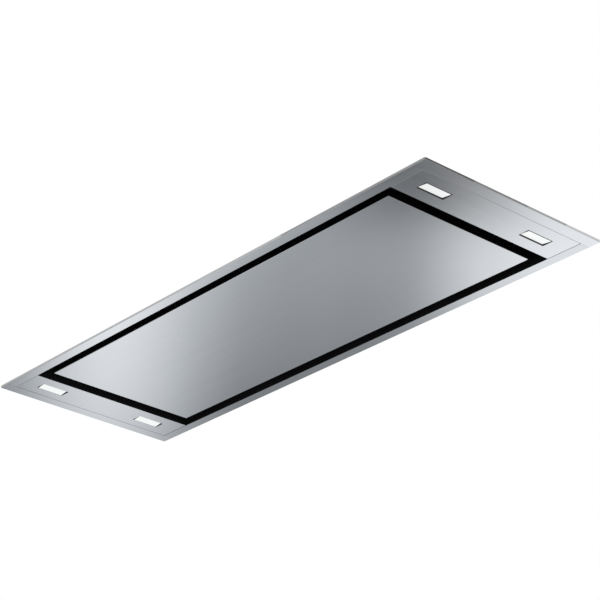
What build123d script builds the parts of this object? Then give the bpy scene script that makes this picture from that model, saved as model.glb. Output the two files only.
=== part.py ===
from build123d import *

import os
from math import atan, cos, degrees, radians, sin

# Ceiling range hood, flush, with a hinged perimeter-suction panel.
# Millimetres. X runs along the hood, Y across it, +Z up into the ceiling void.
# The origin is the middle of the ceiling's underside: the mounting flange lies against the plane z = 0.

os.makedirs("parts", exist_ok=True)

# ------------------------------------------------------------------ driving dimensions

# Face frame: the stainless rails and lamp plates seen from below
face_length = 1200.0
face_width = 400.0
face_drop = 4.0  # from the ceiling down to the face
corner_radius = 3.0
end_rail_width = 25.0
side_rail_width = 20.0
lamp_plate_width = 75.0
rail_sheet = 0.8
rail_lip = 4.0  # edge turned in against the ceiling
rail_bend = 0.6
plate_gap = 0.6  # groove between lamp plate and rails
plate_fold = 8.0
plate_bend = 0.7
seam = 0.2  # butt joint between side rail and end rail

# Intake liner: the black walls round the opening
liner_sheet = 1.2
liner_foot_side = 10.0  # foot that carries the side rails
liner_foot_end = 17.0  # foot that carries the lamp plates
liner_foot_margin = 3.0
liner_return = 24.0  # top edge turned in over the filter deck

# Suction panel
panel_end_gap = 26.5
panel_side_gap = 20.0
panel_recess = 2.0  # panel face above the face frame
panel_sheet = 1.0
panel_depth = 18.0
panel_return = 12.0
panel_bend = 1.2
backing_sheet = 0.8
backing_margin = 2.0
bead_count = 3
bead_end_margin = 63.5
bead_side_margin = 72.0  # panel's edge to the middle of the first bead
bead_width = 34.0
bead_depth = 4.0
bead_taper = 35.0

# Panel hinge and catches, on the end walls of the liner
hinge_from_edge = 20.0  # pivot from the panel's rear edge
hinge_rise = 9.2  # pivot above the panel's backing
hinge_pin_radius = 4.0
hinge_clearance = 0.05
hinge_flange_radius = 10.0
hinge_flange_sheet = 2.0
hinge_arm_sheet = 2.0
hinge_arm_inset = 7.5
hinge_arm_foot = 20.0
hinge_arm_length = 36.0
hinge_head_radius = 9.0
hinge_clip_sheet = 1.5
hinge_clip_radius = 6.0
catch_from_edge = 10.0  # from the panel's front edge
catch_rise = 16.7  # bracket above the panel's backing
catch_sheet = 1.5
catch_width = 24.0
catch_leg = 20.0
catch_reach = 48.0
magnet_length = 24.0
magnet_width = 16.0
magnet_height = 10.0
magnet_gap = 0.3
keeper_length = 30.0
keeper_foot = 6.0
keeper_sheet = 1.2

# Filter deck and grease filters
deck_height = 68.0
deck_sheet = 1.2
deck_side_gap = 10.0
deck_end_gap = 10.0
deck_front_lip = 16.0
deck_rear_lip = 12.0
deck_rear_shelf = 10.0
window_end_margin = 14.0  # filter's end to the window
window_side_margin = 22.0
filter_count = 3
filter_end_gap = 9.0
filter_gap = 4.0
filter_thickness = 10.0
filter_seat_gap = 0.3
filter_sheet = 1.0
filter_bar = 24.0
filter_front_bar = 34.0
filter_corner = 4.0
mesh_gap = 0.3
mesh_sheet = 0.8
pleat_count = 56

# Filter latches
latch_length = 56.0
latch_width = 24.0
latch_sheet = 2.2
latch_gap = 0.3
latch_throw = 6.0
latch_tongue = 30.0
latch_engagement = 3.5
latch_pull = 10.0
latch_pull_sheet = 3.0
guide_sheet = 2.0
guide_foot = 1.5
guide_grip = 4.3

# Lamps
lamp_from_end = 62.7
lamp_from_side = 64.65  # from the long walls of the opening, before the offset
lamp_offset = -4.1  # middle of each pair, towards -Y
lamp_tilt_rise = 0.125  # faces turned towards the middle of the hood
lamp_recess = 0.85
lens_length = 52.5
lens_width = 20.6
lens_thickness = 2.5
lens_corner = 0.8
lens_gap = 0.2
holder_length = 57.4
holder_width = 22.4
holder_set_back = 0.8
holder_depth = 18.0
holder_wall = 1.6
holder_clip_length = 10.0
holder_clip_reach = 1.6
holder_clip_height = 5.0
lamp_cutout_gap = 0.4
led_board_sheet = 1.2
led_board_height = 6.0
led_count = 5
led_size = 3.0
led_height = 0.9

# Housing above the ceiling
body_sheet = 1.2
body_gap = 0.3  # liner to housing
body_end_inset = 18.5
flange_hole_radius = 2.25
lid_gap = 0.3
lid_skirt = 12.0

# Hanger straps for threaded rods, on the housing top
hanger_inset_x = 52.7  # from the housing's end wall to the rod
hanger_inset_y = 62.7
hanger_sheet = 2.5
hanger_width = 30.0
hanger_span = 44.0
hanger_rise = 25.0
hanger_foot = 18.0
hanger_hole_radius = 4.25

# Blower: volute of four quarter arcs round the impeller's axis
blower_offset = -47.0
blower_floor_gap = 2.8  # volute's rim above the filter deck
volute_radius = 77.0
volute_step = 11.0
volute_half_width = 75.0
volute_wall = 2.0
volute_mouth_rise = 77.5  # from the impeller's axis up to the mouth
volute_flange = 8.0
volute_flange_sheet = 2.0
tongue_angle = 45.0
tongue_radius = 5.0
inlet_radius = 60.0
inlet_lip = 10.0
inlet_flare = 8.0
impeller_radius = 70.0
impeller_eye = 58.0
impeller_half_width = 54.0
impeller_sheet = 2.0
impeller_hub_radius = 14.0
impeller_hub_half = 8.0
blade_count = 36
blade_sheet = 1.2
blade_sweep = 7.0  # degrees between a blade's inner and outer edge
blade_bow = 2.2

# Motor, inside the impeller's eye on the -X side
shaft_radius = 4.0
shaft_clearance = 0.05
shaft_overhang = 4.0
motor_radius = 42.0
motor_rear_cap = 18.0
motor_stack = 28.0
motor_front_cap = 20.0
motor_wall = 2.5
motor_shield = 3.0
motor_boss_radius = 10.0
motor_boss_height = 3.0
motor_vent_count = 8
motor_vent_length = 16.0
motor_vent_width = 5.0
motor_vent_distance = 25.0
stator_bore = 24.0
stator_slot_count = 12
stator_slot_width = 5.0
stator_slot_depth = 9.0
rotor_gap = 0.5
spider_sheet = 3.0
spider_hub_radius = 30.0
spider_bore_radius = 12.0
spider_arm_width = 12.0
spider_foot_distance = 74.0
spider_foot_radius = 9.0
spider_hole_radius = 2.6
bush_height = 3.0
bush_radius = 8.0
spider_arm_count = 3
spider_angle = 30.0

# Run capacitor on the housing's front wall
capacitor_radius = 15.0
capacitor_length = 60.0
capacitor_from_volute = 83.0
capacitor_z = 210.0
capacitor_cap = 5.0
capacitor_cap_radius = 10.0
clip_sheet = 1.2
clip_gap = 0.1
clip_width = 15.0
clip_foot = 14.0

# Outlet
collar_radius = 74.5  # outside, for a 150 mm duct
collar_wall = 1.0
collar_height = 82.0
collar_flange = 18.0
collar_flange_sheet = 1.5
transition_height = 28.0
transition_wall = 2.0
flap_pin_height = 10.0
flap_pin_radius = 2.0
flap_pin_set_back = 0.5
flap_clearance = 0.05
flap_gap = 0.8
flap_sheet = 1.2
flap_knuckle_radius = 3.6
flap_knuckle_length = 18.0
flap_knuckle_gap = 0.5
flap_knuckle_pitch = 40.0
flap_root = 4.2
stop_width = 4.0
stop_sheet = 2.0
stop_gap = 0.3

# Electrical parts
box_length = 160.0
box_width = 110.0
box_depth = 42.0
box_wall = 2.0
box_from_end = 251.5
box_lid_sheet = 2.0
box_lid_lip = 5.0
box_lid_gap = 0.3
box_corner = 5.0
board_margin = 6.0
board_sheet = 1.6
board_post = 14.0
board_post_radius = 3.0
board_post_inset = 10.0
relay_count = 4
relay_length = 20.0
relay_width = 15.0
relay_height = 12.0
relay_pitch = 26.0
relay_row = 20.0
terminal_length = 52.0
terminal_width = 18.0
terminal_height = 14.0
terminal_ways = 5
terminal_hole_radius = 2.0
terminal_hole_depth = 9.0
gland_from_end = 141.5
gland_flats_radius = 12.5
gland_base_height = 6.0
gland_nut_radius = 11.0
gland_nut_height = 15.0
gland_dome = 4.0
gland_thread_radius = 10.0
gland_thread_length = 9.0
gland_bore_radius = 5.0
gland_hole_gap = 0.2
driver_length = 140.0
driver_height = 38.0
driver_depth = 25.0
driver_ear = 12.0
driver_ear_sheet = 2.0
driver_z = 170.0
driver_hole_radius = 2.2

# Screws that hold the liner in the housing
screw_radius = 2.0
screw_hole_gap = 0.2
screw_head_radius = 3.8
screw_head_height = 2.2
screw_length = 8.0
screw_end_margin = 50.0
screw_count = 4
screw_z = 42.0

# ------------------------------------------------------------------ places that follow

face_z = -face_drop
sheet_top_z = face_z + rail_sheet
slot_length = face_length - 2 * (end_rail_width + lamp_plate_width)
slot_width = face_width - 2 * side_rail_width
deck_half_width = slot_width / 2 - deck_side_gap
deck_top_z = deck_height + deck_sheet
liner_top_z = deck_top_z + liner_sheet
liner_outer_length = slot_length + 2 * liner_sheet
liner_outer_width = slot_width + 2 * liner_sheet
screw_pitch = (slot_length - 2 * screw_end_margin) / (screw_count - 1)

panel_length = slot_length - 2 * panel_end_gap
panel_width = slot_width - 2 * panel_side_gap
panel_z = face_z + panel_recess
panel_top_z = panel_z + panel_depth
backing_top_z = panel_top_z + backing_sheet
bead_length = panel_length - 2 * bead_end_margin
bead_pitch = (panel_width - 2 * bead_side_margin) / (bead_count - 1)
arm_face_x = panel_length / 2 - hinge_arm_inset
hinge_from_axis = panel_width / 2 - hinge_from_edge
hinge_z = backing_top_z + hinge_rise
catch_from_axis = panel_width / 2 - catch_from_edge
catch_z = backing_top_z + catch_rise
magnet_x = slot_length / 2 - catch_reach + magnet_length / 2
magnet_bottom_z = catch_z - magnet_height
keeper_top_z = magnet_bottom_z - magnet_gap

filter_row = slot_length - 2 * (deck_end_gap + filter_end_gap)
filter_length = (filter_row - (filter_count - 1) * filter_gap) / filter_count
filter_pitch = filter_length + filter_gap
window_length = filter_length - 2 * window_end_margin
window_width = 2 * (deck_half_width - window_side_margin)
filter_half_width = deck_half_width - deck_sheet - filter_seat_gap
shelf_top_z = deck_top_z - deck_rear_lip
filter_z = shelf_top_z + filter_seat_gap
latch_top_z = filter_z - latch_gap
latch_z = latch_top_z - latch_sheet
lip_outer_y = -deck_half_width
latch_tip_y = lip_outer_y - latch_engagement
latch_body_y = -filter_half_width + latch_throw

lamp_tilt = atan(lamp_tilt_rise)
lamp_x = face_length / 2 - lamp_from_end
lamp_pitch = slot_width - 2 * lamp_from_side
lamp_z = face_z + lamp_recess

body_half_length = face_length / 2 - body_end_inset
body_half_width = liner_outer_width / 2 + body_gap
body_outer_length = 2 * (body_half_length + body_sheet)
body_outer_width = 2 * (body_half_width + body_sheet)
flange_length = face_length - 2 * rail_lip
flange_width = face_width - 2 * rail_lip
flange_hole_x = (body_outer_length + flange_length) / 4
flange_hole_y = (body_outer_width + flange_width) / 4
hanger_spacing_x = body_outer_length - 2 * hanger_inset_x
hanger_spacing_y = body_outer_width - 2 * hanger_inset_y
box_x = body_half_length - box_from_end
gland_x = body_half_length - gland_from_end

volute_reach = volute_radius + 3 * volute_step  # the volute's widest arc
blower_height = deck_top_z + blower_floor_gap + volute_flange + volute_reach - volute_step / 2
volute_outlet = blower_height + volute_mouth_rise
body_height = volute_outlet + transition_height
lid_z = body_height
lid_top_z = lid_z + body_sheet
volute_right = blower_offset + volute_step / 2 + volute_reach
tongue_y = blower_offset - volute_step / 2 + volute_radius * cos(radians(tongue_angle))
outlet_y = (volute_right + tongue_y) / 2
outlet_width = volute_right - tongue_y
blower_plane = Plane(origin=(0, blower_offset, blower_height), x_dir=(0, 1, 0), z_dir=(1, 0, 0))
side_plate_x = volute_half_width + volute_wall
motor_end = -side_plate_x - bush_height
capacitor_x = side_plate_x + capacitor_from_volute
motor_stack_x = motor_end + motor_rear_cap
motor_front_x = motor_stack_x + motor_stack
motor_nose_x = motor_front_x + motor_front_cap

collar_bore = collar_radius - collar_wall
flap_pin_z = lid_top_z + flap_pin_height
flap_radius = collar_bore - flap_gap

corners = ((1, 1), (-1, 1), (-1, -1), (1, -1))
ends = {"left": -1, "right": 1}


def save(builder, name):
    """Gives a finished piece its node's name and writes it."""
    builder.part.label = name
    export_step(builder.part, f"parts/{name}.step")


def end_plane(side, x, y=0.0, z=0.0):
    """A plane square to X at that end of the hood, its normal to the middle and its own y along +Z."""
    return Plane(origin=(side * x, y, z), x_dir=(0, -side, 0), z_dir=(-side, 0, 0))


# ------------------------------------------------------------------ face frame


def face_ring():
    """The rails' folded section all round: face, outer wall, and the lip turned in against the ceiling."""
    with BuildPart() as ring:
        with BuildSketch(Plane.XY.offset(face_z)):
            RectangleRounded(face_length, face_width, corner_radius)
        extrude(amount=face_drop)
        fillet(ring.faces().sort_by(Axis.Z)[0].edges(), rail_bend)
        with BuildSketch(Plane.XY.offset(sheet_top_z)):
            RectangleRounded(
                face_length - 2 * rail_sheet,
                face_width - 2 * rail_sheet,
                corner_radius - rail_sheet,
            )
        extrude(amount=face_drop - 2 * rail_sheet, mode=Mode.SUBTRACT)
        with BuildSketch(Plane.XY.offset(-rail_sheet)):
            Rectangle(face_length - 2 * rail_lip, face_width - 2 * rail_lip)
        extrude(amount=rail_sheet, mode=Mode.SUBTRACT)
        with BuildSketch(Plane.XY.offset(face_z)):
            Rectangle(face_length - 2 * end_rail_width, slot_width)
        extrude(amount=rail_sheet, mode=Mode.SUBTRACT)
    return ring.part


ring_section = face_ring()

for end, side in ends.items():
    with BuildPart() as end_rail:
        add(ring_section)
        with BuildSketch(Plane.XY.offset(face_z)):
            with Locations((side * (face_length - end_rail_width) / 2, 0)):
                Rectangle(end_rail_width, face_width)
        extrude(amount=face_drop, mode=Mode.INTERSECT)
    save(end_rail, f"frame_end_{end}")

for end, side in {"front": -1, "rear": 1}.items():
    with BuildPart() as side_rail:
        add(ring_section)
        with BuildSketch(Plane.XY.offset(face_z)):
            with Locations((0, side * (face_width - side_rail_width) / 2)):
                Rectangle(face_length - 2 * (end_rail_width + seam), side_rail_width)
        extrude(amount=face_drop, mode=Mode.INTERSECT)
    save(side_rail, f"frame_side_{end}")

plate_length = lamp_plate_width - plate_gap
plate_width = slot_width - 2 * plate_gap
plate_centre_x = slot_length / 2 + plate_length / 2

for end, side in ends.items():
    with BuildPart() as lamp_plate:
        with BuildSketch(Plane.XY.offset(face_z)):
            with Locations((side * plate_centre_x, 0)):
                Rectangle(plate_length, plate_width)
        extrude(amount=plate_fold)
        rim = lamp_plate.faces().sort_by(Axis.Z)[0].edges()
        fillet(rim.sort_by(lambda edge: side * edge.center().X)[1:], plate_bend)
        with BuildSketch(Plane.XY.offset(sheet_top_z)):
            with Locations((side * (plate_centre_x - rail_sheet), 0)):
                Rectangle(plate_length, plate_width - 2 * rail_sheet)
            with Locations((side * slot_length / 2, 0)):
                Rectangle(2 * (liner_sheet + body_gap), plate_width)
        extrude(amount=plate_fold, mode=Mode.SUBTRACT)
        with BuildSketch(Plane.XY.offset(face_z)):
            with Locations((side * lamp_x, lamp_offset)):
                with GridLocations(0, lamp_pitch, 1, 2):
                    Rectangle(holder_width + 2 * lamp_cutout_gap, holder_length + 2 * lamp_cutout_gap)
        extrude(amount=rail_sheet, mode=Mode.SUBTRACT)
    save(lamp_plate, f"lamp_plate_{end}")

# ------------------------------------------------------------------ lamps


def lamp_plane(side, y):
    """The plane of a lens's face: its x runs to the middle of the hood and rises, its normal goes up."""
    return Plane(
        origin=(side * lamp_x, y, lamp_z),
        x_dir=(-side * cos(lamp_tilt), 0, sin(lamp_tilt)),
        z_dir=(side * sin(lamp_tilt), 0, cos(lamp_tilt)),
    )


lamp_places = {
    "left_front": lamp_plane(-1, lamp_offset - lamp_pitch / 2),
    "left_rear": lamp_plane(-1, lamp_offset + lamp_pitch / 2),
    "right_front": lamp_plane(1, lamp_offset - lamp_pitch / 2),
    "right_rear": lamp_plane(1, lamp_offset + lamp_pitch / 2),
}

for place, plane in lamp_places.items():
    with BuildPart() as lamp_lens:
        with BuildSketch(plane):
            RectangleRounded(lens_width, lens_length, lens_corner)
        extrude(amount=lens_thickness)
    save(lamp_lens, f"lamp_lens_{place}")

    with BuildPart() as lamp_holder:
        with BuildSketch(plane.offset(holder_set_back)):
            RectangleRounded(holder_width, holder_length, lens_corner)
        extrude(amount=holder_depth)
        with BuildSketch(plane.offset(holder_set_back)):
            RectangleRounded(lens_width + 2 * lens_gap, lens_length + 2 * lens_gap, lens_corner)
        extrude(amount=lens_thickness - holder_set_back, mode=Mode.SUBTRACT)
        with BuildSketch(plane.offset(lens_thickness)):
            Rectangle(lens_width - 2 * holder_wall, lens_length - 2 * holder_wall)
        extrude(amount=holder_depth + holder_set_back - lens_thickness - holder_wall, mode=Mode.SUBTRACT)
        with BuildSketch(plane.offset(holder_clip_height)):
            Rectangle(holder_clip_length, holder_length + 2 * holder_clip_reach)
            Rectangle(holder_clip_length, holder_length - holder_wall, mode=Mode.SUBTRACT)
        extrude(amount=holder_wall)
    save(lamp_holder, f"lamp_holder_{place}")

with BuildPart() as led_boards:
    for plane in lamp_places.values():
        board_top = plane.offset(led_board_height + led_board_sheet)
        with BuildSketch(board_top):
            Rectangle(
                lens_width - 2 * (holder_wall + lens_gap),
                lens_length - 2 * (holder_wall + lens_gap),
            )
        extrude(amount=-led_board_sheet)
        with BuildSketch(plane.offset(led_board_height)):
            with GridLocations(0, (lens_length - 4 * holder_wall) / led_count, 1, led_count):
                Rectangle(led_size, led_size)
        extrude(amount=-led_height)
save(led_boards, "led_boards")

# ------------------------------------------------------------------ intake liner

with BuildPart() as intake_liner:
    with BuildSketch(Plane.XY.offset(sheet_top_z)):
        Rectangle(liner_outer_length, liner_outer_width)
        Rectangle(slot_length, slot_width, mode=Mode.SUBTRACT)
    extrude(amount=liner_top_z - sheet_top_z)
    with BuildSketch(Plane.XY.offset(sheet_top_z)):
        Rectangle(liner_outer_length, slot_width + 2 * liner_foot_side)
        Rectangle(slot_length + 2 * liner_foot_end, slot_width - 2 * liner_foot_margin)
        Rectangle(slot_length, slot_width, mode=Mode.SUBTRACT)
    extrude(amount=liner_sheet)
    with BuildSketch(Plane.XY.offset(deck_top_z)):
        Rectangle(liner_outer_length, liner_outer_width)
        Rectangle(slot_length - 2 * liner_return, slot_width - 2 * liner_return, mode=Mode.SUBTRACT)
    extrude(amount=liner_sheet)
    with BuildSketch(Plane.XZ.offset(-liner_outer_width / 2)):
        with Locations((0, screw_z)):
            with GridLocations(screw_pitch, 0, screw_count, 1):
                Circle(screw_radius + screw_hole_gap)
    extrude(amount=liner_outer_width, mode=Mode.SUBTRACT)
save(intake_liner, "intake_liner")

# ------------------------------------------------------------------ suction panel

with BuildPart() as panel_skin:
    with BuildSketch(Plane.XY.offset(panel_z)):
        RectangleRounded(panel_length, panel_width, panel_bend)
    extrude(amount=panel_depth)
    fillet(panel_skin.faces().sort_by(Axis.Z)[0].edges(), panel_bend - panel_sheet / 2)
    with BuildSketch(Plane.XY.offset(panel_z + panel_sheet)):
        RectangleRounded(
            panel_length - 2 * panel_sheet,
            panel_width - 2 * panel_sheet,
            panel_bend - panel_sheet,
        )
    extrude(amount=panel_depth - 2 * panel_sheet, mode=Mode.SUBTRACT)
    with BuildSketch(Plane.XY.offset(panel_top_z - panel_sheet)):
        Rectangle(panel_length - 2 * panel_return, panel_width - 2 * panel_return)
    extrude(amount=panel_sheet, mode=Mode.SUBTRACT)
save(panel_skin, "panel_skin")

with BuildPart() as panel_backing:
    with BuildSketch(Plane.XY.offset(panel_top_z)):
        Rectangle(panel_length - 2 * backing_margin, panel_width - 2 * backing_margin)
    extrude(amount=backing_sheet)
    with BuildSketch(Plane.XY.offset(panel_top_z)):
        with GridLocations(0, bead_pitch, 1, bead_count):
            SlotOverall(bead_length, bead_width)
    extrude(amount=-bead_depth, taper=bead_taper)
    with BuildSketch(Plane.XY.offset(backing_top_z)):
        with GridLocations(0, bead_pitch, 1, bead_count):
            SlotOverall(bead_length - backing_sheet, bead_width - backing_sheet)
    extrude(amount=-bead_depth, taper=bead_taper, mode=Mode.SUBTRACT)
save(panel_backing, "panel_backing")

with BuildPart() as hinge_arms:
    for side in ends.values():
        head_plane = end_plane(side, arm_face_x, hinge_from_axis)
        with BuildSketch(head_plane):
            with Locations((0, hinge_z)):
                Circle(hinge_head_radius)
            with Locations((0, (backing_top_z + hinge_z) / 2)):
                Trapezoid(hinge_arm_length, hinge_z - backing_top_z, 52.0)
            with Locations((0, hinge_z)):
                Circle(hinge_pin_radius + hinge_clearance, mode=Mode.SUBTRACT)
        extrude(amount=hinge_arm_sheet)
        with BuildSketch(Plane.XY.offset(backing_top_z)):
            with Locations((side * (arm_face_x - hinge_arm_foot / 2), hinge_from_axis)):
                Rectangle(hinge_arm_foot, hinge_arm_length)
        extrude(amount=hinge_arm_sheet)
save(hinge_arms, "hinge_arms")

with BuildPart() as hinge_pins:
    for side in ends.values():
        pin_end = slot_length / 2 - arm_face_x + hinge_arm_sheet + hinge_clip_sheet + magnet_gap
        with BuildSketch(end_plane(side, slot_length / 2, hinge_from_axis, hinge_z)):
            Circle(hinge_flange_radius)
        extrude(amount=hinge_flange_sheet)
        with BuildSketch(end_plane(side, slot_length / 2, hinge_from_axis, hinge_z)):
            Circle(hinge_pin_radius)
        extrude(amount=pin_end)
        with BuildSketch(end_plane(side, slot_length / 2 - pin_end, hinge_from_axis, hinge_z)):
            Circle(hinge_clip_radius)
        extrude(amount=-hinge_clip_sheet)
save(hinge_pins, "hinge_pins")

with BuildPart() as catch_brackets:
    for side in ends.values():
        bracket_centre = side * (slot_length / 2 - catch_reach / 2)
        with BuildSketch(Plane.XY.offset(catch_z)):
            with Locations((bracket_centre, -catch_from_axis)):
                Rectangle(catch_reach, catch_width)
        extrude(amount=catch_sheet)
        with BuildSketch(end_plane(side, slot_length / 2, -catch_from_axis, catch_z + catch_leg / 2)):
            Rectangle(catch_width, catch_leg)
            Circle(screw_radius + screw_hole_gap, mode=Mode.SUBTRACT)
        extrude(amount=catch_sheet)
save(catch_brackets, "catch_brackets")

with BuildPart() as catch_magnets:
    for side in ends.values():
        with BuildSketch(Plane.XY.offset(magnet_bottom_z)):
            with Locations((side * magnet_x, -catch_from_axis)):
                Rectangle(magnet_length, magnet_width)
        extrude(amount=magnet_height)
save(catch_magnets, "catch_magnets")

with BuildPart() as catch_keepers:
    for side in ends.values():
        with BuildSketch(Plane.XY.offset(backing_top_z)):
            with Locations((side * magnet_x, -catch_from_axis)):
                Rectangle(keeper_length, magnet_width)
        extrude(amount=keeper_sheet)
        with BuildSketch(Plane.XY.offset(backing_top_z)):
            with Locations((side * magnet_x, -catch_from_axis)):
                Rectangle(keeper_length - 2 * keeper_foot, magnet_width)
        extrude(amount=keeper_top_z - backing_top_z)
        with BuildSketch(Plane.XY.offset(backing_top_z)):
            with Locations((side * magnet_x, -catch_from_axis)):
                Rectangle(keeper_length - 2 * (keeper_foot + keeper_sheet), magnet_width)
        extrude(amount=keeper_top_z - backing_top_z - keeper_sheet, mode=Mode.SUBTRACT)
save(catch_keepers, "catch_keepers")

# ------------------------------------------------------------------ filter deck and grease filters

window_y = (filter_front_bar - filter_bar) / 2

with BuildPart() as filter_deck:
    with BuildSketch(Plane.XY.offset(deck_height)):
        Rectangle(slot_length - 2 * deck_end_gap, 2 * deck_half_width)
        with Locations((0, window_y)):
            with GridLocations(filter_pitch, 0, filter_count, 1):
                Rectangle(window_length, window_width, mode=Mode.SUBTRACT)
    extrude(amount=deck_sheet)
    with BuildSketch(Plane.YZ.offset(-slot_length / 2 + deck_end_gap)):
        with Locations((lip_outer_y, deck_top_z)):
            Rectangle(deck_sheet, deck_front_lip, align=(Align.MIN, Align.MAX))
        with Locations((deck_half_width, deck_top_z)):
            Rectangle(deck_sheet, deck_rear_lip + deck_sheet, align=(Align.MAX, Align.MAX))
        with Locations((deck_half_width, shelf_top_z)):
            Rectangle(deck_rear_shelf, deck_sheet, align=Align.MAX)
    extrude(amount=slot_length - 2 * deck_end_gap)
    with BuildSketch(Plane.XZ.offset(-lip_outer_y)):
        with Locations((0, latch_z + latch_sheet / 2)):
            with GridLocations(filter_pitch, 0, filter_count, 1):
                Rectangle(latch_tongue + 2 * latch_gap, latch_sheet + 2 * latch_gap)
    extrude(amount=-deck_sheet, mode=Mode.SUBTRACT)
save(filter_deck, "filter_deck")

opening_length = filter_length - 2 * filter_bar
opening_width = 2 * filter_half_width - filter_bar - filter_front_bar
mesh_half_length = filter_length / 2 - filter_corner
mesh_half_width = filter_half_width - filter_corner
mesh_middle_z = filter_z + filter_thickness / 2
mesh_rise = filter_thickness / 2 - filter_sheet - mesh_gap - mesh_sheet
pleat_points = [
    ((2 * number / pleat_count - 1) * mesh_half_length, (-1) ** number * mesh_rise)
    for number in range(pleat_count + 1)
]
filter_places = {
    "left": -filter_pitch,
    "middle": 0.0,
    "right": filter_pitch,
}

for place, x in filter_places.items():
    with BuildPart() as filter_frame:
        with BuildSketch(Plane.XY.offset(filter_z)):
            with Locations((x, 0)):
                RectangleRounded(filter_length, 2 * filter_half_width, filter_corner)
        extrude(amount=filter_thickness)
        with BuildSketch(Plane.XY.offset(filter_z + filter_sheet)):
            with Locations((x, 0)):
                RectangleRounded(
                    filter_length - 2 * filter_sheet,
                    2 * (filter_half_width - filter_sheet),
                    filter_corner - filter_sheet,
                )
        extrude(amount=filter_thickness - 2 * filter_sheet, mode=Mode.SUBTRACT)
        with BuildSketch(Plane.XY.offset(filter_z)):
            with Locations((x, window_y)):
                Rectangle(opening_length, opening_width)
        extrude(amount=filter_thickness, mode=Mode.SUBTRACT)
        guide_bottom_z = latch_z - latch_gap - guide_foot
        for hand in (-1, 1):
            guide_inner_x = x + hand * (latch_length / 2 + latch_gap)
            with BuildSketch(Plane.XY.offset(guide_bottom_z)):
                with Locations((guide_inner_x + hand * guide_sheet / 2, latch_body_y + latch_width / 2)):
                    Rectangle(guide_sheet, latch_width)
            extrude(amount=filter_z - guide_bottom_z)
            with BuildSketch(Plane.XY.offset(guide_bottom_z)):
                foot_x = guide_inner_x + hand * (guide_sheet - guide_grip / 2)
                with Locations((foot_x, latch_body_y + latch_width / 2)):
                    Rectangle(guide_grip, latch_width)
            extrude(amount=guide_foot)
    save(filter_frame, f"filter_frame_{place}")

    with BuildPart() as filter_mesh:
        with BuildSketch(Plane.XZ.offset(-mesh_half_width)):
            with BuildLine(mode=Mode.PRIVATE) as pleats:
                Polyline([(x + along, mesh_middle_z + height) for along, height in pleat_points])
            trace(pleats.line, mesh_sheet)
        extrude(amount=2 * mesh_half_width)
    save(filter_mesh, f"filter_mesh_{place}")

    with BuildPart() as filter_latch:
        with BuildSketch(Plane.XY.offset(latch_z)):
            with Locations((x, latch_body_y)):
                Rectangle(latch_length, latch_width, align=(Align.CENTER, Align.MIN))
            with Locations((x, latch_tip_y)):
                Rectangle(latch_tongue, latch_body_y - latch_tip_y, align=(Align.CENTER, Align.MIN))
        extrude(amount=latch_sheet)
        with BuildSketch(Plane.XY.offset(latch_z)):
            with Locations((x, latch_body_y + latch_width)):
                Rectangle(
                    latch_length - 2 * (guide_grip + latch_gap),
                    latch_pull_sheet,
                    align=(Align.CENTER, Align.MAX),
                )
        extrude(amount=-latch_pull)
        pull_foot = filter_latch.edges().filter_by(Axis.X).sort_by(Axis.Z)[:2]
        fillet(pull_foot, latch_pull_sheet / 2 - mesh_gap)
    save(filter_latch, f"filter_latch_{place}")

# ------------------------------------------------------------------ housing

with BuildPart() as housing_shell:
    with BuildSketch(Plane.XY.offset(-body_sheet)):
        Rectangle(body_outer_length, body_outer_width)
        Rectangle(2 * body_half_length, 2 * body_half_width, mode=Mode.SUBTRACT)
    extrude(amount=body_height + body_sheet)
    with BuildSketch(Plane.XY.offset(-body_sheet)):
        Rectangle(flange_length, flange_width)
        Rectangle(2 * body_half_length, 2 * body_half_width, mode=Mode.SUBTRACT)
        with GridLocations(2 * flange_hole_x, 2 * flange_hole_y, 2, 2):
            Circle(flange_hole_radius, mode=Mode.SUBTRACT)
    extrude(amount=body_sheet)
    with BuildSketch(Plane.XZ.offset(-body_outer_width / 2)):
        with Locations((0, screw_z)):
            with GridLocations(screw_pitch, 0, screw_count, 1):
                Circle(screw_radius + screw_hole_gap)
    extrude(amount=body_outer_width, mode=Mode.SUBTRACT)
save(housing_shell, "housing_shell")

with BuildPart() as housing_top:
    with BuildSketch(Plane.XY.offset(lid_top_z - lid_skirt)):
        Rectangle(
            body_outer_length + 2 * (lid_gap + body_sheet),
            body_outer_width + 2 * (lid_gap + body_sheet),
        )
    extrude(amount=lid_skirt)
    with BuildSketch(Plane.XY.offset(lid_top_z - lid_skirt)):
        Rectangle(body_outer_length + 2 * lid_gap, body_outer_width + 2 * lid_gap)
    extrude(amount=lid_skirt - body_sheet, mode=Mode.SUBTRACT)
    with BuildSketch(Plane.XY.offset(lid_z)):
        with Locations((0, outlet_y)):
            Circle(collar_bore)
        with Locations((gland_x, 0)):
            Circle(gland_thread_radius + gland_hole_gap)
    extrude(amount=body_sheet, mode=Mode.SUBTRACT)
save(housing_top, "housing_top")

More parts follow.
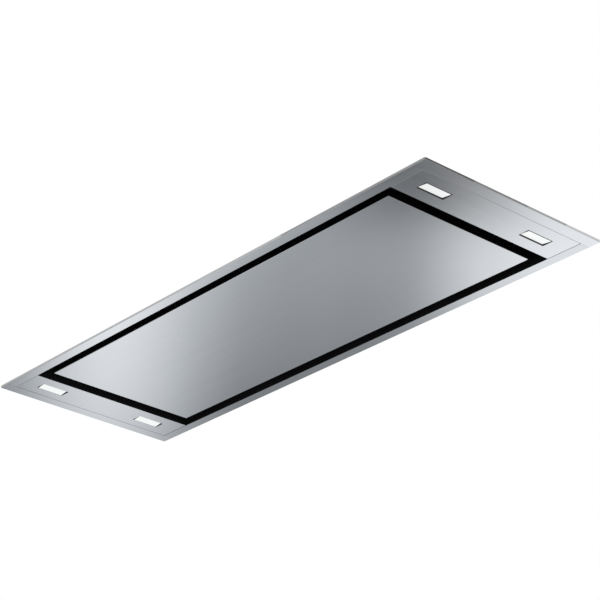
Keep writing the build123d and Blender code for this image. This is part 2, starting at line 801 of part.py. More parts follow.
with BuildPart() as hanger_straps:
    for side_x, side_y in corners:
        centre_x = side_x * hanger_spacing_x / 2
        centre_y = side_y * hanger_spacing_y / 2
        strap_plane = Plane(origin=(centre_x, centre_y, lid_top_z), x_dir=(0, 1, 0), z_dir=(1, 0, 0))
        with BuildSketch(strap_plane.offset(-hanger_width / 2)):
            with Locations((0, hanger_rise / 2)):
                Rectangle(hanger_span, hanger_rise)
            with Locations((0, (hanger_rise - hanger_sheet) / 2)):
                Rectangle(hanger_span - 2 * hanger_sheet, hanger_rise - hanger_sheet, mode=Mode.SUBTRACT)
            with Locations((0, hanger_sheet / 2)):
                with GridLocations(hanger_span + hanger_foot, 0, 2, 1):
                    Rectangle(hanger_foot, hanger_sheet)
        extrude(amount=hanger_width)
        with BuildSketch(Plane.XY.offset(lid_top_z + hanger_rise)):
            with Locations((centre_x, centre_y)):
                Circle(hanger_hole_radius)
        extrude(amount=-hanger_sheet, mode=Mode.SUBTRACT)
save(hanger_straps, "hanger_straps")

with BuildPart() as liner_screws:
    for side in (-1, 1):
        for number in range(screw_count):
            x = (number - (screw_count - 1) / 2) * screw_pitch
            head_plane = Plane(
                origin=(x, side * slot_width / 2, screw_z), x_dir=(1, 0, 0), z_dir=(0, -side, 0)
            )
            with BuildSketch(head_plane):
                Circle(screw_head_radius)
            extrude(amount=screw_head_height)
            with BuildSketch(head_plane):
                Circle(screw_radius)
            extrude(amount=-screw_length)
save(liner_screws, "liner_screws")

# ------------------------------------------------------------------ blower


def volute_face(growth=0.0):
    """The air passage in the blower's plane, grown outwards: four arcs, then up to a square mouth."""
    step = volute_step / 2
    mouth_y = volute_outlet - blower_height
    with BuildSketch() as passage:
        with BuildLine():
            throat = CenterArc((-step, step), volute_radius, tongue_angle, 90 - tongue_angle)
            CenterArc((-step, -step), volute_radius + volute_step, 90, 90)
            CenterArc((step, -step), volute_radius + 2 * volute_step, 180, 90)
            widest = CenterArc((step, step), volute_radius + 3 * volute_step, 270, 90)
            mouth = Line(((widest @ 1).X, mouth_y), ((throat @ 0).X, mouth_y))
            Line(widest @ 1, mouth @ 0)
            Line(mouth @ 1, throat @ 0)
        make_face()
        fillet(passage.vertices().sort_by_distance(throat @ 0)[0], tongue_radius)
        if growth > 0:
            offset(amount=growth)
            with Locations(mouth @ 0.5):
                Rectangle(
                    outlet_width + 2 * growth,
                    2 * growth,
                    align=(Align.CENTER, Align.MIN),
                    mode=Mode.SUBTRACT,
                )
    return passage.sketch


passage_face = volute_face()
shell_face = volute_face(volute_wall)
rim_face = volute_face(volute_flange)
blower_axis = Axis(blower_plane.origin, blower_plane.z_dir)
inlet_section = Plane(origin=blower_plane.origin, x_dir=(1, 0, 0), z_dir=(0, -1, 0))

with BuildPart() as volute_right_half:
    with BuildSketch(blower_plane):
        add(shell_face)
        add(passage_face, mode=Mode.SUBTRACT)
    extrude(amount=volute_half_width)
    with BuildSketch(blower_plane):
        add(rim_face)
        add(passage_face, mode=Mode.SUBTRACT)
    extrude(amount=volute_flange_sheet)
    with BuildSketch(blower_plane.offset(volute_half_width)):
        add(shell_face)
        Circle(inlet_radius + inlet_flare, mode=Mode.SUBTRACT)
    extrude(amount=volute_wall)
    with BuildSketch(inlet_section):
        with BuildLine():
            lip = Line(
                (side_plate_x - inlet_flare - inlet_lip, inlet_radius),
                (side_plate_x - inlet_flare, inlet_radius),
            )
            outer = CenterArc((side_plate_x - inlet_flare, inlet_radius + inlet_flare), inlet_flare, 270, 90)
            end = Line(outer @ 1, (outer @ 1) - (volute_wall, 0))
            inner = CenterArc(
                (side_plate_x - inlet_flare, inlet_radius + inlet_flare), inlet_flare - volute_wall, 270, 90
            )
            Polyline(inner @ 0, (lip @ 0) + (0, volute_wall), lip @ 0)
        make_face()
    revolve(axis=blower_axis)
    with BuildSketch(Plane.XY.offset(volute_outlet)):
        with Locations((0, outlet_y)):
            Rectangle(
                side_plate_x + volute_flange,
                outlet_width + 2 * volute_flange,
                align=(Align.MIN, Align.CENTER),
            )
            Rectangle(
                volute_half_width,
                outlet_width,
                align=(Align.MIN, Align.CENTER),
                mode=Mode.SUBTRACT,
            )
    extrude(amount=-volute_flange_sheet)
save(volute_right_half, "volute_right")

with BuildPart() as volute_left_half:
    add(volute_right_half.part.mirror(Plane.YZ))
save(volute_left_half, "volute_left")

# Double-inlet wheel: a middle disc on the hub, an end ring on each side, forward-curved blades between them
with BuildPart() as impeller:
    with BuildSketch(blower_plane.offset(-impeller_sheet / 2)):
        Circle(impeller_radius)
    extrude(amount=impeller_sheet)
    with BuildSketch(blower_plane.offset(-impeller_hub_half)):
        Circle(impeller_hub_radius)
    extrude(amount=2 * impeller_hub_half)
    with BuildSketch(blower_plane.offset(-impeller_hub_half)):
        Circle(shaft_radius)
    extrude(amount=2 * impeller_hub_half, mode=Mode.SUBTRACT)
    for ring_start in (-impeller_half_width, impeller_half_width - impeller_sheet):
        with BuildSketch(blower_plane.offset(ring_start)):
            Circle(impeller_radius)
            Circle(impeller_eye, mode=Mode.SUBTRACT)
        extrude(amount=impeller_sheet)
save(impeller, "impeller")

blade_root = Vector(impeller_eye + blade_sheet / 2, 0)
blade_tip = Vector(impeller_radius - blade_sheet, 0).rotate(Axis.Z, blade_sweep)
blade_middle = (blade_root + blade_tip) / 2 + Vector(0, -blade_bow)
blade_span = impeller_half_width - 3 * impeller_sheet / 2

with BuildSketch() as blade:
    with BuildLine(mode=Mode.PRIVATE) as blade_curve:
        ThreePointArc(blade_root, blade_middle, blade_tip)
    trace(blade_curve.line, blade_sheet)

blade_rows = {
    0.0: impeller_sheet / 2,
    180 / blade_count: impeller_sheet - impeller_half_width,
}

with BuildPart() as impeller_blades:
    for stagger, row_start in blade_rows.items():
        with BuildSketch(blower_plane.offset(row_start)):
            with PolarLocations(0, blade_count, stagger):
                add(blade.sketch)
        extrude(amount=blade_span)
save(impeller_blades, "impeller_blades")

# ------------------------------------------------------------------ motor

with BuildPart() as rotor:
    with BuildSketch(blower_plane.offset(motor_end - shaft_overhang)):
        Circle(shaft_radius)
    extrude(amount=impeller_hub_half + shaft_overhang - motor_end + shaft_overhang)
    with BuildSketch(blower_plane.offset(motor_stack_x)):
        Circle(stator_bore - rotor_gap)
    extrude(amount=motor_stack)
save(rotor, "rotor")

with BuildPart() as motor_stator:
    with BuildSketch(blower_plane.offset(motor_stack_x)):
        Circle(motor_radius)
        Circle(stator_bore, mode=Mode.SUBTRACT)
        with PolarLocations(stator_bore, stator_slot_count):
            SlotCenterToCenter(stator_slot_depth, stator_slot_width, mode=Mode.SUBTRACT)
    extrude(amount=motor_stack)
save(motor_stator, "motor_stator")

motor_caps = {
    "rear": (blower_plane.offset(motor_end), motor_rear_cap),
    "front": (blower_plane.offset(motor_nose_x).rotated((0, 180, 0)), motor_front_cap),
}

for name, (plane, depth) in motor_caps.items():
    with BuildPart() as motor_cap:
        with BuildSketch(plane):
            Circle(motor_radius)
        extrude(amount=depth)
        fillet(motor_cap.edges().filter_by(GeomType.CIRCLE).sort_by_distance(plane.origin)[0], motor_wall)
        with BuildSketch(plane.offset(motor_shield)):
            Circle(motor_radius - motor_wall)
        extrude(amount=depth - motor_shield, mode=Mode.SUBTRACT)
        with BuildSketch(plane.offset(motor_shield)):
            Circle(motor_boss_radius)
        extrude(amount=motor_boss_height)
        with BuildSketch(plane):
            Circle(shaft_radius + shaft_clearance)
        extrude(amount=motor_shield + motor_boss_height, mode=Mode.SUBTRACT)
        with BuildSketch(plane):
            with PolarLocations(motor_vent_distance, motor_vent_count):
                SlotOverall(motor_vent_length, motor_vent_width)
        extrude(amount=motor_shield, mode=Mode.SUBTRACT)
    save(motor_cap, f"motor_cap_{name}")

spider_x = -side_plate_x - bush_height - spider_sheet

with BuildPart() as motor_spider:
    with BuildSketch(blower_plane.offset(spider_x)):
        Circle(spider_hub_radius)
        with PolarLocations(spider_foot_distance / 2, spider_arm_count, spider_angle):
            Rectangle(spider_foot_distance, spider_arm_width)
        with PolarLocations(spider_foot_distance, spider_arm_count, spider_angle):
            Circle(spider_foot_radius)
            Circle(spider_hole_radius, mode=Mode.SUBTRACT)
        Circle(spider_bore_radius, mode=Mode.SUBTRACT)
    extrude(amount=spider_sheet)
save(motor_spider, "motor_spider")

with BuildPart() as motor_bushes:
    with BuildSketch(blower_plane.offset(spider_x + spider_sheet)):
        with PolarLocations(spider_foot_distance, spider_arm_count, spider_angle):
            Circle(bush_radius)
            Circle(spider_hole_radius, mode=Mode.SUBTRACT)
    extrude(amount=bush_height)
save(motor_bushes, "motor_bushes")

# ------------------------------------------------------------------ run capacitor

clip_inner = capacitor_radius + clip_gap
capacitor_y = -body_half_width + clip_sheet + clip_inner
capacitor_plane = Plane(origin=(capacitor_x, capacitor_y, capacitor_z), x_dir=(0, 1, 0), z_dir=(1, 0, 0))

with BuildPart() as run_capacitor:
    with BuildSketch(capacitor_plane.offset(-capacitor_length / 2)):
        Circle(capacitor_radius)
    extrude(amount=capacitor_length)
    fillet(run_capacitor.edges().filter_by(GeomType.CIRCLE), capacitor_cap / 4)
    with BuildSketch(capacitor_plane.offset(capacitor_length / 2)):
        Circle(capacitor_cap_radius)
    extrude(amount=capacitor_cap)
save(run_capacitor, "run_capacitor")

with BuildPart() as capacitor_clip:
    with BuildSketch(capacitor_plane.offset(-clip_width / 2)):
        Circle(clip_inner + clip_sheet)
        with Locations((-clip_inner - clip_sheet, 0)):
            Rectangle(clip_sheet, 2 * (clip_inner + clip_foot), align=(Align.MIN, Align.CENTER))
        Circle(clip_inner, mode=Mode.SUBTRACT)
    extrude(amount=clip_width)
save(capacitor_clip, "capacitor_clip")

# ------------------------------------------------------------------ outlet

def transition_ends(wall):
    """The square and the round end of the passage to the collar, grown outwards by a wall."""
    with BuildSketch(Plane.XY.offset(volute_outlet)) as square_end:
        with Locations((0, outlet_y)):
            Rectangle(2 * (volute_half_width + wall), outlet_width + 2 * wall)
    with BuildSketch(Plane.XY.offset(lid_z)) as round_end:
        with Locations((0, outlet_y)):
            Circle(collar_bore - transition_wall + wall)
    return [square_end.sketch.face(), round_end.sketch.face()]


with BuildPart() as outlet_transition:
    loft(sections=transition_ends(transition_wall))
    with BuildSketch(Plane.XY.offset(volute_outlet)):
        with Locations((0, outlet_y)):
            Rectangle(2 * (side_plate_x + volute_flange), outlet_width + 2 * volute_flange)
    extrude(amount=volute_flange_sheet)
    with BuildSketch(Plane.XY.offset(lid_z)):
        with Locations((0, outlet_y)):
            Circle(collar_bore + volute_flange)
    extrude(amount=-volute_flange_sheet)
    loft(sections=transition_ends(0.0), mode=Mode.SUBTRACT)
save(outlet_transition, "outlet_transition")

with BuildPart() as outlet_collar:
    with BuildSketch(Plane.XY.offset(lid_top_z)):
        with Locations((0, outlet_y)):
            Circle(collar_radius)
            Circle(collar_bore, mode=Mode.SUBTRACT)
    extrude(amount=collar_height)
    with BuildSketch(Plane.XY.offset(lid_top_z)):
        with Locations((0, outlet_y)):
            Circle(collar_radius + collar_flange)
            Circle(collar_bore, mode=Mode.SUBTRACT)
    extrude(amount=collar_flange_sheet)
    with BuildSketch(Plane.XY.offset(flap_pin_z - flap_sheet / 2 - stop_gap)):
        with Locations((0, outlet_y)):
            Circle(collar_bore + collar_wall / 2)
            Circle(collar_bore - stop_width, mode=Mode.SUBTRACT)
    extrude(amount=-stop_sheet)
    with BuildSketch(Plane.YZ.offset(-collar_radius)):
        with Locations((outlet_y, flap_pin_z)):
            Circle(flap_pin_radius)
    extrude(amount=2 * collar_radius, mode=Mode.SUBTRACT)
save(outlet_collar, "outlet_collar")

with BuildPart() as flap_pin:
    with BuildSketch(Plane.YZ.offset(flap_pin_set_back - collar_radius)):
        with Locations((outlet_y, flap_pin_z)):
            Circle(flap_pin_radius)
    extrude(amount=2 * (collar_radius - flap_pin_set_back))
save(flap_pin, "flap_pin")

knuckle_shift = (flap_knuckle_length + flap_knuckle_gap) / 2

for name, hand in {"front": -1, "rear": 1}.items():
    with BuildPart() as flap:
        with BuildSketch(Plane.XY.offset(flap_pin_z - flap_sheet / 2)):
            with Locations((0, outlet_y)):
                Circle(flap_radius)
            with Locations((0, outlet_y - hand * (flap_radius - flap_root))):
                Rectangle(2 * flap_radius, 2 * flap_radius, mode=Mode.SUBTRACT)
        extrude(amount=flap_sheet)
        for middle in (-flap_knuckle_pitch, flap_knuckle_pitch):
            start_x = middle + hand * knuckle_shift - flap_knuckle_length / 2
            with BuildSketch(Plane.YZ.offset(start_x)):
                with Locations((outlet_y, flap_pin_z)):
                    Circle(flap_knuckle_radius)
                    with Locations((hand * flap_root / 2, 0)):
                        Rectangle(flap_root + flap_sheet, flap_sheet)
                    Circle(flap_pin_radius + flap_clearance, mode=Mode.SUBTRACT)
            extrude(amount=flap_knuckle_length)
    save(flap, f"damper_flap_{name}")

# ------------------------------------------------------------------ electrical parts

box_bottom_z = lid_z - box_depth

with BuildPart() as control_box:
    with BuildSketch(Plane.XY.offset(box_bottom_z)):
        with Locations((box_x, 0)):
            RectangleRounded(box_length, box_width, box_corner)
            RectangleRounded(
                box_length - 2 * box_wall,
                box_width - 2 * box_wall,
                box_corner - box_wall,
                mode=Mode.SUBTRACT,
            )
    extrude(amount=box_depth)
    with BuildSketch(Plane.XY.offset(lid_z - box_wall)):
        with Locations((box_x, 0)):
            RectangleRounded(box_length, box_width, box_corner)
    extrude(amount=box_wall)
    with BuildSketch(Plane.XY.offset(lid_z - box_wall)):
        with Locations((box_x, 0)):
            with GridLocations(
                box_length - 2 * (box_wall + board_margin + board_post_inset),
                box_width - 2 * (box_wall + board_margin + board_post_inset),
                2,
                2,
            ):
                Circle(board_post_radius)
    extrude(amount=-board_post)
save(control_box, "control_box")

with BuildPart() as control_box_lid:
    with BuildSketch(Plane.XY.offset(box_bottom_z)):
        with Locations((box_x, 0)):
            RectangleRounded(box_length, box_width, box_corner)
    extrude(amount=-box_lid_sheet)
    with BuildSketch(Plane.XY.offset(box_bottom_z)):
        with Locations((box_x, 0)):
            inner = box_wall + box_lid_gap
            RectangleRounded(box_length - 2 * inner, box_width - 2 * inner, box_corner - inner)
            inner = inner + box_wall
            Rectangle(box_length - 2 * inner, box_width - 2 * inner, mode=Mode.SUBTRACT)
    extrude(amount=box_lid_lip)
save(control_box_lid, "control_box_lid")

board_top_z = lid_z - box_wall - board_post

with BuildPart() as control_board:
    with BuildSketch(Plane.XY.offset(board_top_z)):
        with Locations((box_x, 0)):
            Rectangle(
                box_length - 2 * (box_wall + board_margin),
                box_width - 2 * (box_wall + board_margin),
            )
    extrude(amount=-board_sheet)
    with BuildSketch(Plane.XY.offset(board_top_z - board_sheet)):
        with Locations((box_x, relay_row)):
            with GridLocations(relay_pitch, 0, relay_count, 1):
                Rectangle(relay_length, relay_width)
    extrude(amount=-relay_height)
save(control_board, "control_board")

with BuildPart() as terminal_block:
    with BuildSketch(Plane.XY.offset(board_top_z - board_sheet)):
        with Locations((box_x, -relay_row)):
            Rectangle(terminal_length, terminal_width)
    extrude(amount=-terminal_height)
    with BuildSketch(Plane.XY.offset(board_top_z - board_sheet - terminal_height)):
        with Locations((box_x, -relay_row)):
            with GridLocations(terminal_length / terminal_ways, 0, terminal_ways, 1):
                Circle(terminal_hole_radius)
    extrude(amount=terminal_hole_depth, mode=Mode.SUBTRACT)
save(terminal_block, "terminal_block")

with BuildPart() as cable_gland:
    with BuildSketch(Plane.XY.offset(lid_top_z)):
        with Locations((gland_x, 0)):
            RegularPolygon(gland_flats_radius, 6)
    extrude(amount=gland_base_height)
    with BuildSketch(Plane.XY.offset(lid_top_z + gland_base_height)):
        with Locations((gland_x, 0)):
            Circle(gland_nut_radius)
    extrude(amount=gland_nut_height)
    fillet(cable_gland.edges().filter_by(GeomType.CIRCLE).sort_by(Axis.Z)[-1], gland_dome)
    with BuildSketch(Plane.XY.offset(lid_top_z)):
        with Locations((gland_x, 0)):
            Circle(gland_thread_radius)
    extrude(amount=-gland_thread_length)
    with BuildSketch(Plane.XY.offset(lid_z)):
        with Locations((gland_x, 0)):
            RegularPolygon(gland_flats_radius, 6)
            Circle(gland_thread_radius, mode=Mode.SUBTRACT)
    extrude(amount=-gland_base_height)
    with BuildSketch(Plane.XY.offset(lid_top_z - gland_thread_length)):
        with Locations((gland_x, 0)):
            Circle(gland_bore_radius)
    extrude(amount=gland_thread_length + gland_base_height + gland_nut_height, mode=Mode.SUBTRACT)
save(cable_gland, "cable_gland")

with BuildPart() as led_driver:
    wall_plane = Plane(origin=(-body_half_length, 0, driver_z), x_dir=(0, 1, 0), z_dir=(1, 0, 0))
    with BuildSketch(wall_plane):
        RectangleRounded(driver_length, driver_height, driver_ear_sheet)
    extrude(amount=driver_depth)
    with BuildSketch(wall_plane):
        Rectangle(driver_length + 2 * driver_ear, driver_height / 2)
        with GridLocations(driver_length + driver_ear, 0, 2, 1):
            Circle(driver_hole_radius, mode=Mode.SUBTRACT)
    extrude(amount=driver_ear_sheet)
save(led_driver, "led_driver")
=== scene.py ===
import bmesh
import bpy
import math
from mathutils import Matrix, Vector


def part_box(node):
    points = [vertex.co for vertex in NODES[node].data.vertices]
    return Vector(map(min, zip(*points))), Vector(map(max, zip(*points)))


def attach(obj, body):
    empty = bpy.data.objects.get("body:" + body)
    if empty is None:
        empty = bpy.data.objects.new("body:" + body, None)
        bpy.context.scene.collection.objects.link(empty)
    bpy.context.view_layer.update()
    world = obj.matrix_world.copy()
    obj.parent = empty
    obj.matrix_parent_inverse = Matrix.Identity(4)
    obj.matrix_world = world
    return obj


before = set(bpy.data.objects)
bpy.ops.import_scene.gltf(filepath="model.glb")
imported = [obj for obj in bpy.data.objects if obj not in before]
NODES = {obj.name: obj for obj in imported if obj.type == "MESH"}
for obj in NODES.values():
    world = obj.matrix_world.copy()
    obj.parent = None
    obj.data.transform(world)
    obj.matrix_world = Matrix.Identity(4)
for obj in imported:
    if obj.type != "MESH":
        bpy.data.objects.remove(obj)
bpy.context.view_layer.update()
scene = bpy.context.scene

LAMPS = ("left_front", "left_rear", "right_front", "right_rear")
FILTERS = ("left", "middle", "right")
CORNERS = ((-1, -1), (1, -1), (1, 1), (-1, 1))

# ---------------------------------------------------------------- camera, at the photograph's viewing angle

camera_at = Vector((2.51740, -2.03291, -1.56075))
right = Vector((0.64770437, 0.76149196, 0.02467888))
up = Vector((0.32351531, -0.30421103, 0.89598744))
forward = Vector((-0.68979481, 0.57235099, 0.44339312))

cam_data = bpy.data.cameras.new("camera")
cam_data.sensor_width = 36.0
cam_data.lens = 119.5
cam_data.clip_start = 0.05
cam_data.clip_end = 200.0
camera = bpy.data.objects.new("camera", cam_data)
scene.collection.objects.link(camera)
scene.camera = camera
camera.matrix_world = Matrix((
    (right.x, up.x, -forward.x, camera_at.x),
    (right.y, up.y, -forward.y, camera_at.y),
    (right.z, up.z, -forward.z, camera_at.z),
    (0.0, 0.0, 0.0, 1.0),
))

# ---------------------------------------------------------------- small helpers for node materials

VECTOR = "ShaderNodeVectorMath"
# most values of a noise texture lie between these two
NOISE_LOW = 0.3
NOISE_HIGH = 0.7


def shade(colour, factor):
    """A darker or lighter multiple of a colour."""
    return tuple(min(1.0, factor * channel) for channel in colour)


class Maker:
    """One node material, built socket by socket."""

    def __init__(self, name, base, metallic=0.0, roughness=0.5):
        self.mat = bpy.data.materials.new(name)
        self.mat.use_nodes = True
        self.tree = self.mat.node_tree
        self.output = self.tree.nodes["Material Output"].inputs["Surface"]
        self.bsdf = self.tree.nodes["Principled BSDF"]
        self.base = base
        self.roughness = roughness
        self.set("Base Color", (*base, 1.0))
        self.set("Metallic", metallic)
        self.set("Roughness", roughness)
        self.coords = None

    def set(self, name, value):
        """A plain value of the surface shader."""
        self.bsdf.inputs[name].default_value = value

    def add(self, kind, **inputs):
        """A new node with plain values; an underscore stands for the space in an input's name."""
        node = self.tree.nodes.new(kind)
        for key, value in inputs.items():
            node.inputs[key.replace("_", " ")].default_value = value
        return node

    def link(self, source, target):
        self.tree.links.new(source, target)

    def feed(self, socket, value):
        """Another node's output, or a plain value, into a socket."""
        if isinstance(value, bpy.types.NodeSocket):
            self.link(value, socket)
        else:
            socket.default_value = value

    def object_coords(self, stretch=None):
        if self.coords is None:
            self.coords = self.add("ShaderNodeTexCoord").outputs["Object"]
        if stretch is None:
            return self.coords
        mapping = self.add("ShaderNodeMapping", Scale=stretch)
        self.link(self.coords, mapping.inputs["Vector"])
        return mapping.outputs["Vector"]

    def noise(self, scale, detail=3.0, roughness=0.55, stretch=None, output="Fac"):
        node = self.add("ShaderNodeTexNoise", Scale=scale, Detail=detail, Roughness=roughness)
        self.link(self.object_coords(stretch), node.inputs["Vector"])
        return node.outputs[output]

    def cells(self, scale, coords=None, feature="F1", output="Distance"):
        node = self.add("ShaderNodeTexVoronoi", Scale=scale)
        node.feature = feature
        self.link(self.object_coords() if coords is None else coords, node.inputs["Vector"])
        return node.outputs[output]

    def spread(self, factor, low, high, start=0.0, end=1.0, interpolation="LINEAR"):
        """From low to high while the factor goes from start to end."""
        node = self.add("ShaderNodeMapRange", From_Min=start, From_Max=end, To_Min=low, To_Max=high)
        node.interpolation_type = interpolation
        self.link(factor, node.inputs["Value"])
        return node.outputs["Result"]

    def ramp(self, factor, *stops, interpolation="LINEAR"):
        """Colours along the factor; each stop is (place, colour)."""
        node = self.add("ShaderNodeValToRGB")
        node.color_ramp.interpolation = interpolation
        elements = node.color_ramp.elements
        while len(elements) < len(stops):
            elements.new(0.5)
        for element, (place, colour) in zip(elements, stops):
            element.position = place
            element.color = (*colour, 1.0)
        self.link(factor, node.inputs["Fac"])
        return node.outputs["Color"]

    def mix(self, factor, first, second):
        node = self.add("ShaderNodeMixRGB")
        self.link(factor, node.inputs["Fac"])
        self.feed(node.inputs["Color1"], first)
        self.feed(node.inputs["Color2"], second)
        return node.outputs["Color"]

    def math(self, operation, *values, kind="ShaderNodeMath", output="Value"):
        node = self.add(kind)
        node.operation = operation
        for socket, value in zip(node.inputs, values):
            self.feed(socket, value)
        return node.outputs[output]

    def weigh(self, first, first_share, second, second_share):
        """The weighted sum of two outputs."""
        return self.math("ADD", self.math("MULTIPLY", first, first_share),
                         self.math("MULTIPLY", second, second_share))

    def colour(self, output):
        self.link(output, self.bsdf.inputs["Base Color"])

    def tone(self, factor, dark, light, start=NOISE_LOW, end=NOISE_HIGH):
        """The base colour, from its dark to its light multiple."""
        self.colour(self.ramp(factor, (start, shade(self.base, dark)), (end, shade(self.base, light))))

    def rough(self, output):
        self.link(output, self.bsdf.inputs["Roughness"])

    def haze(self, factor, less, more):
        """The roughness, from a little less to a little more than its middle value."""
        return self.spread(factor, self.roughness - less, self.roughness + more, NOISE_LOW, NOISE_HIGH)

    def bump(self, height, strength, distance):
        """A relief, added to the one before it."""
        node = self.add("ShaderNodeBump", Strength=strength, Distance=distance)
        previous = self.bsdf.inputs["Normal"]
        if previous.is_linked:
            self.link(previous.links[0].from_socket, node.inputs["Normal"])
        self.link(height, node.inputs["Height"])
        self.link(node.outputs["Normal"], previous)

    def glow(self, colour, strength=1.0):
        """Plain light in place of the surface shader."""
        self.tree.nodes.remove(self.bsdf)
        node = self.add("ShaderNodeEmission")
        self.feed(node.inputs["Color"], colour)
        self.feed(node.inputs["Strength"], strength)
        self.link(node.outputs["Emission"], self.output)


# ---------------------------------------------------------------- materials


def brushed(name, along, base=(0.70, 0.704, 0.71)):
    """Fine brushed stainless steel, its grain running along X or Y."""
    m = Maker(name, base, metallic=1.0, roughness=0.17)

    def drawn_out(lengthwise, crosswise):
        return (lengthwise, crosswise, crosswise) if along == "X" else (crosswise, lengthwise, crosswise)

    grain = m.noise(1.0, detail=4.0, roughness=0.7, stretch=drawn_out(2.6, 640.0))
    streaks = m.noise(1.0, detail=3.0, roughness=0.6, stretch=drawn_out(0.9, 70.0))
    clouds = m.noise(5.0, detail=2.0, roughness=0.5)
    both = m.weigh(grain, 0.65, streaks, 0.35)
    m.tone(both, 0.972, 1.024)
    patches = m.spread(clouds, -0.008, 0.008, NOISE_LOW, NOISE_HIGH)
    m.rough(m.math("ADD", m.haze(both, 0.016, 0.022), patches))
    m.bump(grain, strength=0.035, distance=0.00005)
    m.set("Anisotropic", 0.3)
    return m.mat


def galvanised(name, base=(0.56, 0.57, 0.585), scale=75.0, roughness=0.36):
    """Hot-dip galvanised sheet with its spangle of large and small crystals."""
    m = Maker(name, base, metallic=0.92, roughness=roughness)
    warp = m.noise(30.0, detail=3.0, roughness=0.6, output="Color")
    warp_by = (0.012, 0.012, 0.012)
    shifted = m.math("MULTIPLY_ADD", warp, warp_by, m.object_coords(), kind=VECTOR, output="Vector")
    large = m.spread(m.cells(scale, shifted, output="Color"), 0.0, 1.0)
    small = m.spread(m.cells(scale * 2.7, shifted, output="Color"), 0.0, 1.0)
    crystal = m.weigh(large, 0.7, small, 0.3)
    m.colour(m.ramp(crystal, (0.1, shade(base, 0.84)), (0.5, base), (0.9, shade(base, 1.17))))
    m.rough(m.spread(crystal, roughness - 0.08, roughness + 0.12))
    m.bump(m.noise(18.0, detail=2.0), strength=0.06, distance=0.0006)
    return m.mat


def powder_coat(name):
    """Matt black powder coat with a fine grain."""
    m = Maker(name, (0.006, 0.006, 0.0065), roughness=0.62)
    grain = m.noise(900.0, detail=3.0, roughness=0.6)
    m.tone(m.noise(9.0, detail=3.0, roughness=0.5), 0.75, 1.3)
    m.rough(m.haze(grain, 0.08, 0.12))
    m.bump(grain, strength=0.12, distance=0.0002)
    m.set("Specular IOR Level", 0.12)
    return m.mat


def plastic(name, base, roughness=0.45, grain_scale=700.0, grain=0.18, coat=0.0):
    """Moulded plastic with a fine spark-eroded grain and faint mottling."""
    m = Maker(name, base, roughness=roughness)
    fine = m.noise(grain_scale, detail=2.0, roughness=0.5)
    m.tone(m.noise(14.0, detail=4.0, roughness=0.6), 0.88, 1.12)
    m.rough(m.haze(fine, 0.07, 0.09))
    m.bump(fine, strength=grain, distance=0.00012)
    m.set("Coat Weight", coat)
    return m.mat


def bright_metal(name, base, roughness):
    """Turned or plated metal with a light haze."""
    m = Maker(name, base, metallic=1.0, roughness=roughness)
    lines = m.noise(1.0, detail=3.0, roughness=0.6, stretch=(400.0, 400.0, 400.0))
    m.tone(m.noise(60.0, detail=4.0, roughness=0.6), 0.86, 1.08, 0.25, 0.75)
    m.rough(m.haze(lines, 0.05, 0.1))
    m.bump(lines, strength=0.08, distance=0.00008)
    return m.mat


def satin_aluminium(name):
    """Folded aluminium sheet with its mill grain."""
    m = Maker(name, (0.70, 0.71, 0.72), metallic=1.0, roughness=0.34)
    grain = m.noise(1.0, detail=4.0, roughness=0.65, stretch=(7.0, 340.0, 340.0))
    smudge = m.noise(11.0, detail=4.0, roughness=0.6)
    m.tone(grain, 0.88, 1.06)
    m.rough(m.math("ADD", m.haze(grain, 0.05, 0.05), m.spread(smudge, -0.03, 0.08, 0.35, 0.75)))
    m.bump(grain, strength=0.08, distance=0.0001)
    return m.mat


def expanded_metal(name):
    """Expanded aluminium foil: the pleated layers behind the filter's front sheet."""
    base = (0.74, 0.75, 0.76)
    # the holes between the strands are painted near black: painted shade for the depth seen through them
    hole_shade = (0.10, 0.10, 0.105, 1.0)
    m = Maker(name, base, metallic=1.0, roughness=0.38)
    holes = m.cells(260.0, m.object_coords((1.0, 0.6, 1.0)))
    strands = m.cells(260.0, m.object_coords((1.0, 0.6, 1.0)), feature="DISTANCE_TO_EDGE")
    # strands in the base colour, the holes between them in the painted shade
    m.colour(m.mix(m.spread(strands, 0.0, 1.0, 0.02, 0.10), (*base, 1.0), hole_shade))
    m.rough(m.spread(holes, 0.3, 0.55))
    m.bump(m.spread(strands, 1.0, 0.0, 0.0, 0.12), strength=0.6, distance=0.0006)
    return m.mat


def cast_metal(name):
    """Die-cast surface: a fine orange peel with darker hollows."""
    m = Maker(name, (0.50, 0.505, 0.51), metallic=0.85, roughness=0.5)
    peel = m.noise(320.0, detail=4.0, roughness=0.6)
    m.tone(m.noise(24.0, detail=4.0, roughness=0.6), 0.82, 1.12, 0.3, 0.75)
    m.rough(m.haze(peel, 0.08, 0.12))
    m.bump(peel, strength=0.35, distance=0.0003)
    return m.mat


def laminations(name):
    """Stacked electrical steel: half-millimetre sheets along the shaft, with a trace of rust."""
    m = Maker(name, (0.34, 0.345, 0.36), metallic=0.9, roughness=0.42)
    wave = m.add("ShaderNodeTexWave", Scale=1000.0, Distortion=0.2)
    wave.bands_direction = "X"
    m.link(m.object_coords(), wave.inputs["Vector"])
    layered = m.ramp(wave.outputs["Fac"], (0.2, (0.20, 0.205, 0.215)), (0.7, (0.42, 0.425, 0.44)))
    rust = m.noise(45.0, detail=5.0, roughness=0.65)
    m.colour(m.mix(m.spread(rust, 0.0, 0.5, 0.55, 0.8), layered, (0.16, 0.10, 0.07, 1.0)))
    m.bump(wave.outputs["Fac"], strength=0.3, distance=0.0002)
    return m.mat


